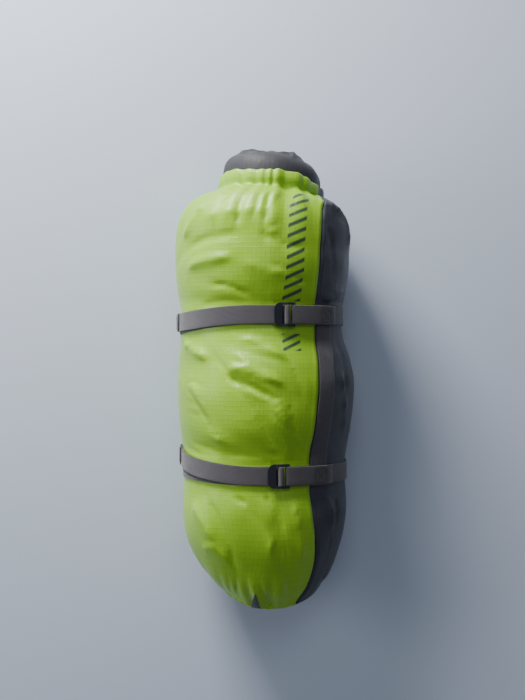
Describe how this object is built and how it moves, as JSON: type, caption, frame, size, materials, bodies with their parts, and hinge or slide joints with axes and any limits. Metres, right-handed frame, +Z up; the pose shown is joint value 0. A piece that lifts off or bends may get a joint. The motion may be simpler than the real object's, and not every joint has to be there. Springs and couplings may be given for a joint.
{
  "type": "compression sack",
  "caption": "Long packed fabric sack lying down, with two webbing straps in ladder locks round its girth, a cinched drawcord mouth under a domed flap and a round sewn base.",
  "frame": {"origin": "on the resting plane, below the middle of the sack", "axes": "+Y from the base towards the mouth, +Z up from the resting plane, +X to the right of someone above the sack with the mouth away from them"},
  "size_m": [0.197, 0.4986, 0.161],
  "materials": {
    "lime_ripstop": "satin",
    "slate_ripstop": "satin",
    "webbing": "matte",
    "seam_tape": "matte",
    "binding_tape": "matte",
    "thread": "matte",
    "moulded": "satin",
    "cord": "matte",
    "eyelet_metal": "satin",
    "spring_wire": "satin",
    "stuffed_goods": "matte"
  },
  "bodies": {
    "sack": {"main_panel": "lime_ripstop", "side_panel": "slate_ripstop", "near_seam_tape": "seam_tape", "far_seam_tape": "seam_tape", "seam_webbing": "webbing", "base_panel": "slate_ripstop", "base_binding": "binding_tape", "base_tab": "binding_tape", "mouth_hem": "lime_ripstop", "drawcord": "cord", "cord_eyelet": "eyelet_metal", "cord_knots": "cord", "cord_lock_body": "moulded", "cord_lock_spring": "spring_wire", "packed_load": "stuffed_goods", "upper_strap": "webbing", "upper_tail_root": "webbing", "upper_box_stitching": "thread", "lower_strap": "webbing", "lower_tail_root": "webbing", "lower_box_stitching": "thread"},
    "upper_lock": {"upper_ladder_lock": "moulded", "upper_strap_wrap": "webbing"},
    "lower_lock": {"lower_ladder_lock": "moulded", "lower_strap_wrap": "webbing"},
    "upper_free_end": {"upper_tail": "webbing", "upper_tail_stitching": "thread"},
    "lower_free_end": {"lower_tail": "webbing", "lower_tail_stitching": "thread"},
    "flap": {"dust_flap": "slate_ripstop", "flap_binding": "binding_tape"},
    "lock_button": {"cord_lock_button": "moulded"}
  },
  "joints": [
    {"name": "upper_lock_tilt", "type": "hinge", "parent": "sack", "child": "upper_lock", "pos_m": [0.03083, 0.07, 0.15088], "axis": [0, 1, 0], "range_deg": [0, 40]},
    {"name": "lower_lock_tilt", "type": "hinge", "parent": "sack", "child": "lower_lock", "pos_m": [0.02483, -0.09925, 0.1493], "axis": [0, 1, 0], "range_deg": [0, 40]},
    {"name": "upper_end_lift", "type": "hinge", "parent": "sack", "child": "upper_free_end", "pos_m": [0.00766, 0.07, 0.15441], "axis": [0, 1, 0], "range_deg": [0, 60]},
    {"name": "lower_end_lift", "type": "hinge", "parent": "sack", "child": "lower_free_end", "pos_m": [0.00152, -0.09925, 0.15076], "axis": [0, 1, 0], "range_deg": [0, 60]},
    {"name": "flap_swing", "type": "hinge", "parent": "sack", "child": "flap", "pos_m": [0.06282, 0.20942, 0.08149], "axis": [-0.0076, -0.0868, -0.9962], "range_deg": [0, 95]},
    {"name": "button_press", "type": "slide", "parent": "sack", "child": "lock_button", "axis": [-0.9962, 0.0872, 0], "range_m": [0, 0.0035], "stiffness_N_per_m": 300, "springref_m": -0.002, "deforming": ["cord_lock_spring"]}
  ]
}
